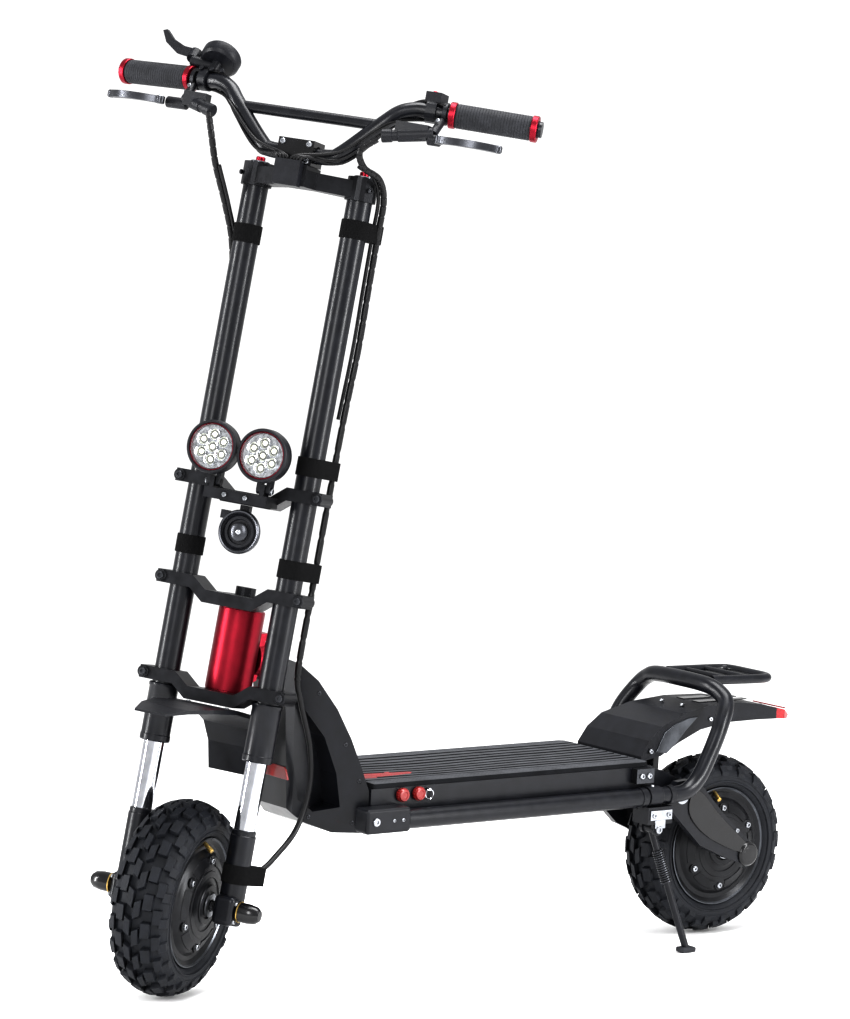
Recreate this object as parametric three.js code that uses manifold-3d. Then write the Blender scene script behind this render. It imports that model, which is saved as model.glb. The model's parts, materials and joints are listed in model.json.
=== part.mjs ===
// Electric kick scooter, parked on its kickstand with the handlebar turned to the rider's left.
// Millimetres. +X is the rider's left, -Y is forward, +Z is up. The assembly is drawn upright in
// three frames (ground, head and fork) and is then leaned over onto the kickstand.
import * as THREE from 'three';
import { mergeVertices } from 'three/addons/utils/BufferGeometryUtils.js';
import Module from 'manifold-3d';

const wasm = await Module();
wasm.setup();

// ---- driving dimensions ----
const WHEEL_R = 140;
const WHEEL_BASE = 1009;
const RAKE = THREE.MathUtils.degToRad(9.48);
const STEER = THREE.MathUtils.degToRad(31.2);
const LEAN = THREE.MathUtils.degToRad(4.72);
const FORK_BASE = new THREE.Vector3(0, 48.2, 132.6);  // steering axis at the height of the axle
const LEG_X = 80;
const LEG_Y = -38.4;
const AXLE_Y = -48.9;
const AXLE_DROP = -2.4;                               // fork sag that puts both tyres on the floor
const LEG_TOP = 1002.7;
const CROWN_Z = { lower: 304, middle: 441, light: 585 };
const CROWN_HALF = 9;
const CROWN_DIP = 17;
const BAR_R = 11.1;
const GRIP_IN = 196;
const GRIP_OUT = 318;
const GAP = 0.3;
const DECK = { x: 105, y0: 280, y1: 806, z0: 228, z1: 290, mat: 8 };
const RAIL = { x: 122, z: 247, r: 14 };
const SWING = { y: 869, z: 242 };                     // rear suspension pivot
const SHOCK_Z = 274;
const STAND = { x: 116, y: 800, z: 198 };             // kickstand pivot
const HINGE = { y: 47, z: 376 };                      // folding hinge, in the head frame
const COLLAR = { y0: 41.4, y1: 68, z: 346 };          // folding lock collar, in the head frame
const LIGHT = { x: 38.5, z: 631, r: 37.5, face: -121, hingeY: -88, hingeZ: 584 };

// ---- frames ----
const ground = new THREE.Matrix4();
const head = new THREE.Matrix4().makeTranslation(FORK_BASE)
  .multiply(new THREE.Matrix4().makeRotationX(-RAKE));
const fork = head.clone().multiply(new THREE.Matrix4().makeRotationZ(STEER));

// ---- solids ----
function solid(geometry) {
  geometry.deleteAttribute('normal');
  geometry.deleteAttribute('uv');
  const merged = mergeVertices(geometry, 1e-4);
  return new wasm.Manifold(new wasm.Mesh({
    numProp: 3,
    vertProperties: new Float32Array(merged.attributes.position.array),
    triVerts: new Uint32Array(merged.index.array),
  }));
}

function joined(parts) {
  return parts.reduce((sum, part) => sum.add(part));
}

function box(x0, x1, y0, y1, z0, z1) {
  const geometry = new THREE.BoxGeometry(x1 - x0, y1 - y0, z1 - z0);
  return solid(geometry.translate((x0 + x1) / 2, (y0 + y1) / 2, (z0 + z1) / 2));
}

// A turned solid: profile points are [radius, distance along the axis].
function turned(profile, from, along, sides = 16) {
  const points = profile.map(([r, d]) => new THREE.Vector2(r, d));
  const geometry = new THREE.LatheGeometry(points, sides);
  const axis = new THREE.Vector3(...along).normalize();
  const turn = new THREE.Quaternion().setFromUnitVectors(new THREE.Vector3(0, 1, 0), axis);
  geometry.applyQuaternion(turn).translate(...from);
  const made = solid(geometry);
  return made.volume() > 0 ? made : solid(flipped(geometry));
}

function flipped(geometry) {
  const source = geometry.index.array;
  for (let i = 0; i < source.length; i += 3) {
    [source[i + 1], source[i + 2]] = [source[i + 2], source[i + 1]];
  }
  return geometry;
}

function rod(from, to, r, sides = 12) {
  const a = new THREE.Vector3(...from);
  const along = new THREE.Vector3(...to).sub(a);
  const length = along.length();
  return turned([[0, 0], [r, 0], [r, length], [0, length]], from, along.toArray(), sides);
}

function pipe(from, to, bore, r, sides = 14) {
  const length = new THREE.Vector3(...to).distanceTo(new THREE.Vector3(...from));
  const along = new THREE.Vector3(...to).sub(new THREE.Vector3(...from)).toArray();
  return turned([[bore, 0], [r, 0], [r, length], [bore, length], [bore, 0]], from, along, sides);
}

function section(r, sides) {
  const shape = new THREE.Shape();
  for (let i = 0; i < sides; i += 1) {
    const a = (2 * Math.PI * i) / sides;
    if (i === 0) shape.moveTo(r, 0);
    else shape.lineTo(r * Math.cos(a), r * Math.sin(a));
  }
  return shape;
}

function tube(route, r, steps, sides = 10, tension = 0.5) {
  const points = route.map((p) => new THREE.Vector3(...p));
  const path = new THREE.CatmullRomCurve3(points, false, 'catmullrom', tension);
  const geometry = new THREE.ExtrudeGeometry(section(r, sides), { steps, extrudePath: path });
  return solid(geometry);
}

function outline(points) {
  return new THREE.Shape(points.map(([a, b]) => new THREE.Vector2(a, b)));
}

function extruded(points, depth) {
  return new THREE.ExtrudeGeometry(outline(points), { depth, bevelEnabled: false });
}

// Outline in (y, z), thickness from x0 to x1.
function sidePlate(points, x0, x1) {
  const geometry = extruded(points, x1 - x0);
  const turn = new THREE.Matrix4().set(0, 0, 1, x0, 1, 0, 0, 0, 0, 1, 0, 0, 0, 0, 0, 1);
  return solid(geometry.applyMatrix4(turn));
}

// Outline in (x, z), thickness from y0 to y1.
function frontPlate(points, y0, y1) {
  const geometry = extruded(points, y1 - y0);
  const turn = new THREE.Matrix4().set(1, 0, 0, 0, 0, 0, -1, y1, 0, 1, 0, 0, 0, 0, 0, 1);
  return solid(geometry.applyMatrix4(turn));
}

// Outline in (x, y), thickness from z0 to z1.
function flatPlate(points, z0, z1) {
  return solid(extruded(points, z1 - z0).translate(0, 0, z0));
}

function mirrored(points) {
  return [...points, ...points.map(([a, b]) => [-a, b]).reverse()];
}

// ---- scene graph ----
const scooter = new THREE.Group();
scooter.name = 'electric_kick_scooter';
const finishes = {
  black: new THREE.MeshStandardMaterial({ color: 0x17181b, roughness: 0.42, metalness: 0.6 }),
  plastic: new THREE.MeshStandardMaterial({ color: 0x1b1c1f, roughness: 0.55, metalness: 0.0 }),
  rubber: new THREE.MeshStandardMaterial({ color: 0x202124, roughness: 0.85, metalness: 0.0 }),
  tyre: new THREE.MeshStandardMaterial({ color: 0x1d2024, roughness: 0.9, metalness: 0.0 }),
  red: new THREE.MeshStandardMaterial({ color: 0xb01128, roughness: 0.3, metalness: 0.8 }),
  chrome: new THREE.MeshStandardMaterial({ color: 0xd8dade, roughness: 0.1, metalness: 1.0 }),
  steel: new THREE.MeshStandardMaterial({ color: 0xa8abb0, roughness: 0.35, metalness: 0.9 }),
  grey: new THREE.MeshStandardMaterial({ color: 0x6e7178, roughness: 0.4, metalness: 0.8 }),
  mat: new THREE.MeshStandardMaterial({ color: 0x3a3c40, roughness: 0.9, metalness: 0.0 }),
};

function piece(name, made, frame, finish) {
  const mesh = made.getMesh();
  const geometry = new THREE.BufferGeometry();
  geometry.setAttribute('position', new THREE.BufferAttribute(mesh.vertProperties, 3));
  geometry.setIndex(new THREE.BufferAttribute(mesh.triVerts, 1));
  geometry.computeVertexNormals();
  const node = new THREE.Mesh(geometry, finishes[finish]);
  node.name = name;
  node.applyMatrix4(frame);
  scooter.add(node);
}

const SIDES = [['left', 1], ['right', -1]];

// ---- wheels ----
function hubProfile() {
  const half = [[8, 50], [30, 50], [62, 46], [74, 36], [84, 34], [92, 38], [92, 31], [84, 27]];
  const other = half.map(([r, x]) => [r, -x]).reverse();
  return [...half, ...other, half[0]];
}

function tyreProfile() {
  const half = [[84.4, 26.4], [92.6, 30.2], [92.6, 37], [104, 43.5], [117, 44.5], [126.5, 38],
    [134, 26], [138.8, 12], [WHEEL_R, 0]];
  const other = half.slice(0, -1).map(([r, x]) => [r, -x]).reverse();
  return [...half, ...other, half[0]];
}

function wheel(end, centre, frame) {
  const across = [1, 0, 0];
  piece(`${end}_hub`, turned(hubProfile(), centre, across, 28), frame, 'plastic');
  piece(`${end}_tyre`, turned(tyreProfile(), centre, across, 40), frame, 'tyre');
  const disc = [[20, -56], [68, -56], [68, -53], [34, -53], [34, -50.3], [20, -50.3], [20, -56]];
  piece(`${end}_rotor`, turned(disc, centre, across, 24), frame, 'steel');
}

// Caliper body astride the disc, centred at angle `turn` above the line behind the axle.
function caliper(centre, turn, arm) {
  const [x, y, z] = centre;
  const cy = y + 64 * Math.cos(turn);
  const cz = z + 64 * Math.sin(turn);
  const body = box(x - 74, x - 51.5, cy - 17, cy + 17, cz - 15, cz + 15);
  const slot = turned([[0, -56.6], [71, -56.6], [71, -52.7], [0, -52.7]], centre, [1, 0, 0], 24);
  return joined([body, arm]).subtract(slot);
}

// ---- deck and fixed frame ----
function deckFrame() {
  const chassis = box(-DECK.x, DECK.x, DECK.y0, DECK.y1, DECK.z0, DECK.z1);
  const ears = SIDES.map(([, s]) => {
    const bar = rod([s * 105, 420, RAIL.z], [s * (RAIL.x - RAIL.r - GAP), 420, RAIL.z], 5, 8);
    const plate = sidePlate([[800, 230], [888, 228], [888, 258], [850, 276], [800, 288]],
      Math.min(s * 72, s * 82), Math.max(s * 72, s * 82));
    return joined([plate, bar]);
  });
  const bores = rod([-90, SWING.y, SWING.z], [90, SWING.y, SWING.z], 8);
  return joined([chassis, ...ears]).subtract(bores);
}

function deckMat() {
  const round = mirrored([[103, 284], [105, 290], [105, 792], [97, 803]]);
  return flatPlate(round, DECK.z1 + GAP, DECK.z1 + DECK.mat);
}

function sideRail(s) {
  const rail = rod([s * RAIL.x, 312, RAIL.z], [s * RAIL.x, 778, RAIL.z], RAIL.r);
  const x0 = DECK.x + GAP;
  const block = box(Math.min(s * x0, s * 137), Math.max(s * x0, s * 137), 250, 330, 230, 268);
  return joined([rail, block]);
}

function neckArch() {
  const top = new THREE.Vector3(0, COLLAR.y1 + 0.6, COLLAR.z).applyMatrix4(head);
  const profile = [[top.y, 472], [190, 466], [214, 442], [238, 402], [256, 360], [270, 318],
    [279.6, 286], [279.6, 226], [238, 225], [204, 238], [180, 258], [176, 320], [171, 400],
    [166.5, 436]];
  const body = sidePlate(profile, -DECK.x, DECK.x);
  const plan = flatPlate(mirrored([[38, 150], [40, 190], [102, 282]]), 200, 500);
  const pocket = [[186, 420], [224, 362], [240, 310], [246, 262], [214, 254], [196, 270],
    [188, 330]];
  const cuts = SIDES.map(([, s]) =>
    sidePlate(pocket, Math.min(s * 34, s * 110), Math.max(s * 34, s * 110)));
  const spigot = rod([0, COLLAR.y0, COLLAR.z], [0, COLLAR.y0 + 30, COLLAR.z], 15).transform(head.toArray());
  const clear = rod([0, COLLAR.y0 - 0.2, COLLAR.z], [0, COLLAR.y1 + 0.4, COLLAR.z], 27.5, 24)
    .transform(head.toArray());
  return body.intersect(plan).subtract(joined(cuts)).subtract(clear).add(spigot);
}

function hoop() {
  const side = [[122, 779, 248], [122, 820, 248], [122, 858, 250], [121, 884, 268], [119, 906, 302],
    [116, 928, 344], [104, 948, 376], [84, 950, 392], [58, 946, 400]];
  const other = side.map(([x, y, z]) => [-x, y, z]).reverse();
  return tube([...side, [0, 944, 402], ...other], 12.5, 46, 8);
}

function rack() {
  const route = [[52, 962.5, 405], [54, 1010, 404], [54, 1066, 403], [42, 1084, 403], [0, 1086, 403],
    [-42, 1084, 403], [-54, 1066, 403], [-54, 1010, 404], [-52, 962.5, 405]];
  const loop = tube(route, 7, 30, 8);
  const bars = [1000, 1040].map((y) => rod([-54, y, 404], [54, y, 404], 5, 8));
  return joined([loop, ...bars]);
}

function rearFender() {
  const profile = [[808, 299], [824, 322], [850, 342], [900, 358], [960, 366], [1030, 366],
    [1088, 358], [1118, 350], [1118, 334], [1070, 336], [1000, 337], [940, 330], [890, 314],
    [850, 297], [808, 291]];
  const plan = flatPlate(mirrored([[76, 800], [72, 850], [56, 950], [44, 1050], [34, 1125]]), 280, 400);
  const under = [[800, 285], [846, 292], [888, 308], [940, 325], [1000, 332], [1130, 329],
    [1130, 320], [800, 280]];
  const hollow = sidePlate([[812, 280], [850, 292], [890, 309], [940, 325], [1000, 332], [1108, 330],
    [1108, 346], [1030, 361], [960, 361], [900, 353], [850, 337], [828, 319], [812, 296]], -28, 20);
  return sidePlate(profile, -80, 80).intersect(plan)
    .subtract(sidePlate(under, -90, 90)).subtract(hollow);
}

function tailLight() {
  const profile = [[1118.4, 334], [1118.4, 351], [1140, 346], [1156, 336], [1150, 331]];
  const plan = flatPlate(mirrored([[33, 1118], [30, 1140], [20, 1157]]), 320, 360);
  return sidePlate(profile, -40, 40).intersect(plan);
}

function bracket(s) {
  const x0 = DECK.x + GAP;
  return box(Math.min(s * x0, s * 117), Math.max(s * x0, s * 117), 766, 800, 267, 289);
}

piece('frame_deck', deckFrame(), ground, 'black');
piece('deck_mat', deckMat(), ground, 'mat');
piece('neck_arch', neckArch(), ground, 'black');
piece('hoop', hoop(), ground, 'black');
piece('rack', rack(), ground, 'black');
piece('rear_fender', rearFender(), ground, 'plastic');
piece('tail_light', tailLight(), ground, 'red');
for (const [side, s] of SIDES) {
  piece(`rail_${side}`, sideRail(s), ground, 'black');
  piece(`bracket_${side}`, bracket(s), ground, 'steel');
}
for (const [name, y] of [['front', 334], ['rear', 363]]) {
  const cap = [[0, 0], [10, 0], [10, 7], [8, 9], [0, 9]];
  piece(`charge_cap_${name}`, turned(cap, [DECK.x + GAP, y, 279], [1, 0, 0]), ground, 'red');
}

// ---- kickstand ----
const STAND_FOOT = [155, 849, 16.6];

function standMount() {
  const block = box(98, 134, 778, 826, 206.4, DECK.z0 - 0.6)
    .add(box(109, 134, 778, 826, 220, RAIL.z - RAIL.r - GAP));
  const cheek = (x) => rod([x, STAND.y, STAND.z], [x + 6, STAND.y, STAND.z], 9.5)
    .add(box(x, x + 6, 791, 809, STAND.z, 210));
  return joined([block, cheek(99.5), cheek(126.5)]);
}

function standLeg() {
  const knuckle = rod([106, STAND.y, STAND.z], [126, STAND.y, STAND.z], 7);
  const bar = rod([STAND.x, STAND.y, STAND.z], STAND_FOOT, 5.5, 12);
  const [x, y, z] = STAND_FOOT;
  return joined([knuckle, bar, box(x - 9, x + 10, y - 14, y + 14, z - 5, z + 3)]);
}

function standSpring() {
  const top = new THREE.Vector3(STAND.x, STAND.y, STAND.z);
  const foot = new THREE.Vector3(...STAND_FOOT);
  const at = (t) => top.clone().lerp(foot, t).toArray();
  return pipe(at(0.18), at(0.45), 5.9, 9.5);
}

piece('kickstand_mount', standMount(), ground, 'black');
piece('kickstand_leg', standLeg(), ground, 'black');
piece('kickstand_spring', standSpring(), ground, 'steel');

// ---- rear suspension and wheel ----
const REAR_AXLE = [0, WHEEL_BASE, WHEEL_R];

function swingarm() {
  const { y, z } = SWING;
  const shaft = rod([-96, y, z], [96, y, z], 7.6);
  const sleeve = rod([-70, y, z], [70, y, z], 14);
  const plate = [[832, 236], [858, 262], [882, 264], [910, 252], [954, 208], [1012, 160],
    [1030, 146], [1022, 130], [1004, 124], [966, 136], [911, 160], [866, 202]];
  const arms = SIDES.map(([, s]) =>
    sidePlate(plate, Math.min(s * 93, s * 105), Math.max(s * 93, s * 105)));
  const lug = sidePlate([[881.5, 236], [881.5, 290], [892, 290], [892, 236]], -20, 20)
    .add(sidePlate([[862, 240], [876, 240], [892, 236], [892, 262], [880, 252]], -20, 20));
  const bores = rod([-110, ...REAR_AXLE.slice(1)], [110, ...REAR_AXLE.slice(1)], 8);
  return joined([shaft, sleeve, ...arms, lug]).subtract(bores);
}

function axle(centre, reach, tip, capR) {
  const half = [[0, tip], [capR * 0.5, tip], [capR, (reach + tip) / 2], [capR, reach], [7.5, reach]];
  const other = half.map(([r, x]) => [r, -x]).reverse();
  return turned([...half, ...other], centre, [1, 0, 0]);
}

piece('swingarm', swingarm(), ground, 'black');
piece('rear_axle', axle(REAR_AXLE, 105.4, 113, 13), ground, 'plastic');
wheel('rear', REAR_AXLE, ground);
const rearArm = box(-92.7, -72, 930, 962, 168, 190);
piece('rear_caliper', caliper(REAR_AXLE, 2.45, rearArm), ground, 'black');
piece('rear_shock_body', pipe([0, DECK.y1 + GAP, SHOCK_Z], [0, 846, SHOCK_Z], 8.3, 14), ground, 'black');
const shockRod = [[0, 0], [8, 0], [8, 58], [6, 60], [0, 60]];
piece('rear_shock_rod', turned(shockRod, [0, 819, SHOCK_Z], [0, 1, 0]), ground, 'steel');

// ---- head tube and folding joint ----
function headTube() {
  const barrel = pipe([0, 0, CROWN_Z.lower - 7.6], [0, 0, CROWN_Z.middle - 26.4], 14.8, 32.5, 20);
  const gusset = sidePlate([[18, 408], [36, 372], [36, 318], [18, 306]], -14, 14);
  const flange = rod([0, 30, 346], [0, 40.6, 346], 25, 24);
  const knuckle = rod([-12, HINGE.y, HINGE.z + 4], [12, HINGE.y, HINGE.z + 4], 5, 12)
    .add(sidePlate([[30, 360], [30, 384], [HINGE.y, 386], [HINGE.y, 374.6], [41, 374.6],
      [40.6, 366]], -12, 12));
  const bore = rod([0, 0, 290], [0, 0, 420], 14.8, 20);
  return joined([barrel, gusset, flange, knuckle]).subtract(bore);
}

piece('head_tube', headTube(), head, 'red');
piece('fold_collar', pipe([0, COLLAR.y0, COLLAR.z], [0, COLLAR.y1, COLLAR.z], 15.4, 27, 24), head, 'black');

// ---- fork: crowns and upper legs ----
function crown(z, front) {
  const half = [[38, z - CROWN_HALF - CROWN_DIP], [60, z - CROWN_HALF], [112, z - CROWN_HALF],
    [112, z + CROWN_HALF], [58, z + CROWN_HALF], [36, z + CROWN_HALF - CROWN_DIP]];
  const beam = frontPlate(mirrored(half), front, -18);
  const holes = SIDES.map(([, s]) =>
    rod([s * LEG_X, LEG_Y, z - 30], [s * LEG_X, LEG_Y, z + 30], 18.8, 20));
  return { beam, holes: joined(holes) };
}

function steeringCrown(z) {
  const { beam, holes } = crown(z, -60);
  const boss = rod([0, 0, z - 26], [0, 0, z - 8], 30, 24)
    .add(box(-29, 29, -24, 0, z - 26, z - 8));
  return beam.add(boss).subtract(holes);
}

function upperLeg(s) {
  const profile = [[15.4, 210], [22, 210], [22, 292], [18, 292], [18, LEG_TOP], [0, LEG_TOP],
    [0, 400], [15.4, 400], [15.4, 210]];
  return turned(profile, [s * LEG_X, LEG_Y, 0], [0, 0, 1]);
}

function lightCrown() {
  const z = CROWN_Z.light;
  const { beam, holes } = crown(z, -58);
  const pad = box(-48, 48, -98, -56, z - 24, z - 9);
  const ears = SIDES.map(([, s]) => box(Math.min(s * 35, s * 42), Math.max(s * 35, s * 42),
    -97, -79, z - 10, z + 7));
  return joined([beam, pad, ...ears]).subtract(holes);
}

function topCrown() {
  const bosses = SIDES.map(([, s]) =>
    rod([s * LEG_X, LEG_Y, LEG_TOP + GAP], [s * LEG_X, LEG_Y, 1036], 22, 20));
  const arms = flatPlate(mirrored([[24, -112], [30, -84], [98, -46], [90, -22], [60, -26],
    [20, -62]]), 1006, 1030);
  return joined([...bosses, arms, box(-24, 24, -112, -62, 1006, 1036)]).subtract(barBore());
}

function barBore() {
  return rod([-60, -90, 1053], [60, -90, 1053], 12.3, 20);
}

const steerer = rod([0, 0, CROWN_Z.lower - 20], [0, 0, CROWN_Z.middle + 4], 14.4, 20);
const steererBore = rod([0, 0, CROWN_Z.middle - 40], [0, 0, CROWN_Z.middle + 20], 14.8, 20);
piece('crown_lower', steeringCrown(CROWN_Z.lower).add(steerer), fork, 'black');
piece('crown_middle', steeringCrown(CROWN_Z.middle).subtract(steererBore), fork, 'black');
piece('crown_light', lightCrown(), fork, 'black');
piece('crown_top', topCrown(), fork, 'black');
for (const [side, s] of SIDES) {
  piece(`leg_${side}`, upperLeg(s), fork, 'black');
}

// ---- lights and horn ----
function headlight(s) {
  const x = s * LIGHT.x;
  const shell = turned([[0, 0], [24, 0], [34, 14], [LIGHT.r, 30], [LIGHT.r, 45], [0, 45]],
    [x, LIGHT.face + 45, LIGHT.z], [0, -1, 0], 20);
  const tabs = [-10.5, 4].map((dx) => {
    const x0 = x + dx;
    return rod([x0, LIGHT.hingeY, LIGHT.hingeZ], [x0 + 6.5, LIGHT.hingeY, LIGHT.hingeZ], 6)
      .add(box(x0, x0 + 6.5, LIGHT.hingeY - 6, LIGHT.hingeY + 6, LIGHT.hingeZ, LIGHT.z - 28));
  });
  return joined([shell, ...tabs]);
}

function horn() {
  const profile = [[0, 0], [14, 0], [20, 6], [31, 12], [31, 20], [0, 20]];
  const bell = turned(profile, [0, -44, 521], [0, -1, 0], 20);
  return joined([bell, box(-7, 7, -56, -46, 540, 558.7), box(-32, -20, -62, -54, 536, 548)]);
}

for (const [side, s] of SIDES) {
  piece(`headlight_${side}`, headlight(s), fork, 'plastic');
}
piece('horn', horn(), fork, 'chrome');

// ---- front fender ----
function frontFender() {
  const top = [[-246, 264], [-200, 272], [-140, 276], [-60, 276], [0, 270], [40, 252], [66, 222],
    [82, 180]];
  const under = [[77, 179], [61, 219], [37, 247], [-1, 264], [-60, 270], [-140, 270], [-200, 267],
    [-245, 261]];
  const strip = sidePlate([...top, ...under], -50, 50);
  const plan = flatPlate(mirrored([[22, -250], [36, -200], [46, -140], [46, 20], [40, 90]]), 150, 300);
  return strip.intersect(plan);
}

piece('front_fender', frontFender(), fork, 'plastic');

// ---- handlebar and controls ----
const BAR_SIDE = [[44, -90, 1053], [62, -88, 1062], [110, -80, 1110], [130, -72, 1130],
  [150, -65.4, 1138], [168, -60.8, 1139], [190, -56, 1139]];
const BAR_END = [323, -27, 1139];

function barPoint(x, offset = 0) {
  const t = (x - 190) / (BAR_END[0] - 190);
  return [x, -56 + 29 * t, 1139 + offset];
}

function handlebar() {
  const half = [...BAR_SIDE, barPoint(230), BAR_END];
  const route = [...half.map(([x, y, z]) => [-x, y, z]).reverse(), [0, -90, 1053], ...half];
  const brace = rod([-110, -80, 1108], [110, -80, 1108], 8, 10);
  return tube(route, BAR_R, 44, 10).add(brace);
}

function grip(s) {
  const from = barPoint(GRIP_IN);
  const to = barPoint(GRIP_OUT);
  const place = ([x, y, z]) => [s * x, y, z];
  const along = new THREE.Vector3(...place(to)).sub(new THREE.Vector3(...place(from)));
  const d = along.length();
  const profile = [[11.6, 0], [18.5, 0], [18.5, 9], [16.5, 9.5], [16.5, d - 9.5], [18.5, d - 9],
    [18.5, d], [11.6, d], [11.6, 0]];
  return turned(profile, place(from), along.toArray());
}

function barRing(s, x, width) {
  const place = ([a, b, c]) => [s * a, b, c];
  return pipe(place(barPoint(x)), place(barPoint(x + width)), 11.9, 16);
}

function brakeBody(s) {
  const shift = s > 0 ? 0 : 14;
  const at = (x, y, z) => [s * x, y, z];
  const cylinder = rod(at(122 + shift, -104, 1092), at(190, -86, 1106), 9.5, 12);
  const neck = rod(at(189, -86, 1106), at(190.5, -66, 1128), 6, 10);
  const perch = rod(at(184, -88, 1098), at(202 + shift, -86, 1098), 8, 10);
  return joined([barRing(s, 186.5, 7.5), cylinder, neck, perch]);
}

function brakeLever(s) {
  const shift = s > 0 ? 0 : 14;
  const blade = [[214, -100], [232, -104], [262, -98], [282, -86], [290, -88], [288, -96], [266, -110],
    [236, -114], [208, -108], [206, -100]];
  const placed = blade.map(([x, y]) => [x + shift, y]);
  const both = s > 0 ? placed : placed.map(([x, y]) => [-x, y]).reverse();
  return flatPlate(both, 1094, 1101);
}

function display() {
  const centre = [-166, -45, 1172];
  const axis = [0, 0.64, 0.77];
  const body = turned([[0, -10], [25, -10], [29, -4], [29, 8], [26, 11], [0, 11]], centre, axis, 20);
  const clamp = barRing(-1, 168, 14);
  const stem = rod([-172, -55, 1150], [-168, -48, 1167], 8, 10);
  return body.add(clamp).add(stem).subtract(barHole(-1));
}

function barHole(s) {
  const place = ([a, b, c]) => [s * a, b, c];
  return rod(place(barPoint(150)), place(barPoint(196)), 11.9);
}

function throttle() {
  const boss = turned([[0, 0], [9, 0], [9, 16], [0, 16]], [-207, -50, 1166], [0, 0.64, 0.77], 16);
  const blade = frontPlate([[-206, 1182], [-226, 1184], [-244, 1192], [-256, 1204], [-262, 1202],
    [-254, 1186], [-234, 1172], [-207, 1168]].reverse(), -47, -39);
  return boss.add(blade);
}

function switchPod() {
  const pod = box(161, 184, -68, -40, 1152, 1166);
  return pod.add(barRing(1, 164, 14)).subtract(barHole(1));
}

function barClamp() {
  return box(-27, 27, -108, -70, 1036.4, 1071).subtract(barBore());
}

piece('handlebar', handlebar(), fork, 'black');
piece('bar_clamp', barClamp(), fork, 'grey');
piece('cable_box', box(-19, 19, -126, -112.4, 1004, 1040), fork, 'plastic');
for (const [side, s] of SIDES) {
  piece(`grip_${side}`, grip(s), fork, 'rubber');
  piece(`brake_body_${side}`, brakeBody(s), fork, 'plastic');
  piece(`brake_lever_${side}`, brakeLever(s), fork, 'grey');
}
piece('display', display(), fork, 'plastic');
piece('throttle_lever', throttle(), fork, 'plastic');
piece('switch_pod', switchPod(), fork, 'plastic');

// ---- cables held along the fork ----
const CABLE_LEFT = [[118, -108, 1086], [98, -112, 1066], [100, -92, 1046], [112, -60, 1036],
  [112, -30, 1010], [106, -14, 960], [103, -5, 890], [103, -2, 800], [102, -6, 700], [101, -5, 568],
  [101, -4, 440], [102, -3, 340], [110, 8, 300], [118, 46, 240], [120, 66, 180], [116, 56, 120],
  [109, 14, 78], [105, -10, 62]];
const CABLE_RIGHT = [[-136, -116, 1088], [-128, -112, 1060], [-124, -88, 1020], [-116, -50, 970],
  [-108, -22, 920], [-104, -5, 850], [-103, -4, 720], [-101, -5, 568], [-101, -4, 440],
  [-102, -3, 320], [-106, 4, 240], [-106, 4, 160], [-105, -8, 80]];
piece('cable_left', tube(CABLE_LEFT, 4.5, 46, 8), fork, 'plastic');
piece('cable_right', tube(CABLE_RIGHT, 4.5, 36, 8), fork, 'plastic');

// ---- sprung lower fork and front wheel ----
const FRONT_AXLE = [0, AXLE_Y, -AXLE_DROP];

function slider(s) {
  const h = 112 - AXLE_DROP;
  const tubeBody = rod([s * LEG_X, LEG_Y, -22 - AXLE_DROP], [s * LEG_X, LEG_Y, h], 18, 20);
  const lug = box(Math.min(s * 64, s * 96), Math.max(s * 64, s * 96), -66, -34, -22 - AXLE_DROP, 20);
  const bore = rod([s * 50, AXLE_Y, -AXLE_DROP], [s * 110, AXLE_Y, -AXLE_DROP], 8);
  return tubeBody.add(lug).subtract(bore);
}

for (const [side, s] of SIDES) {
  const foot = [s * LEG_X, LEG_Y, 112 - AXLE_DROP + GAP];
  piece(`slider_${side}`, slider(s), fork, 'black');
  piece(`stanchion_${side}`, rod(foot, [s * LEG_X, LEG_Y, 306], 15, 20), fork, 'chrome');
}
piece('front_axle', axle(FRONT_AXLE, 99.3, 132, 14), fork, 'plastic');
wheel('front', FRONT_AXLE, fork);
const frontArm = box(-90, -70, -19.8, 8, 40, 56);
piece('front_caliper', caliper(FRONT_AXLE, 0.75, frontArm), fork, 'black');

// ---- park it: lean onto the kickstand, then put the origin under the middle of the box ----
scooter.rotation.y = LEAN;
scooter.updateMatrixWorld(true);
const bounds = new THREE.Box3();
for (const node of scooter.children) {
  bounds.union(new THREE.Box3().setFromObject(node, true));
}
const middlePoint = bounds.getCenter(new THREE.Vector3());
scooter.position.set(-middlePoint.x, -middlePoint.y, -bounds.min.z);
scooter.updateMatrixWorld(true);

export default scooter;
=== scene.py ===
"""Looks of the parked electric kick scooter: camera, studio, materials and detailed pieces.

Shapes are drawn in millimetres in three frames, as the solid model is: ground (upright scooter, under
the straight-ahead front axle), head (the steering head) and fork (turned with the bars).
"""
import json
import math

import bmesh
import bpy
from mathutils import Matrix, Vector


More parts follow.
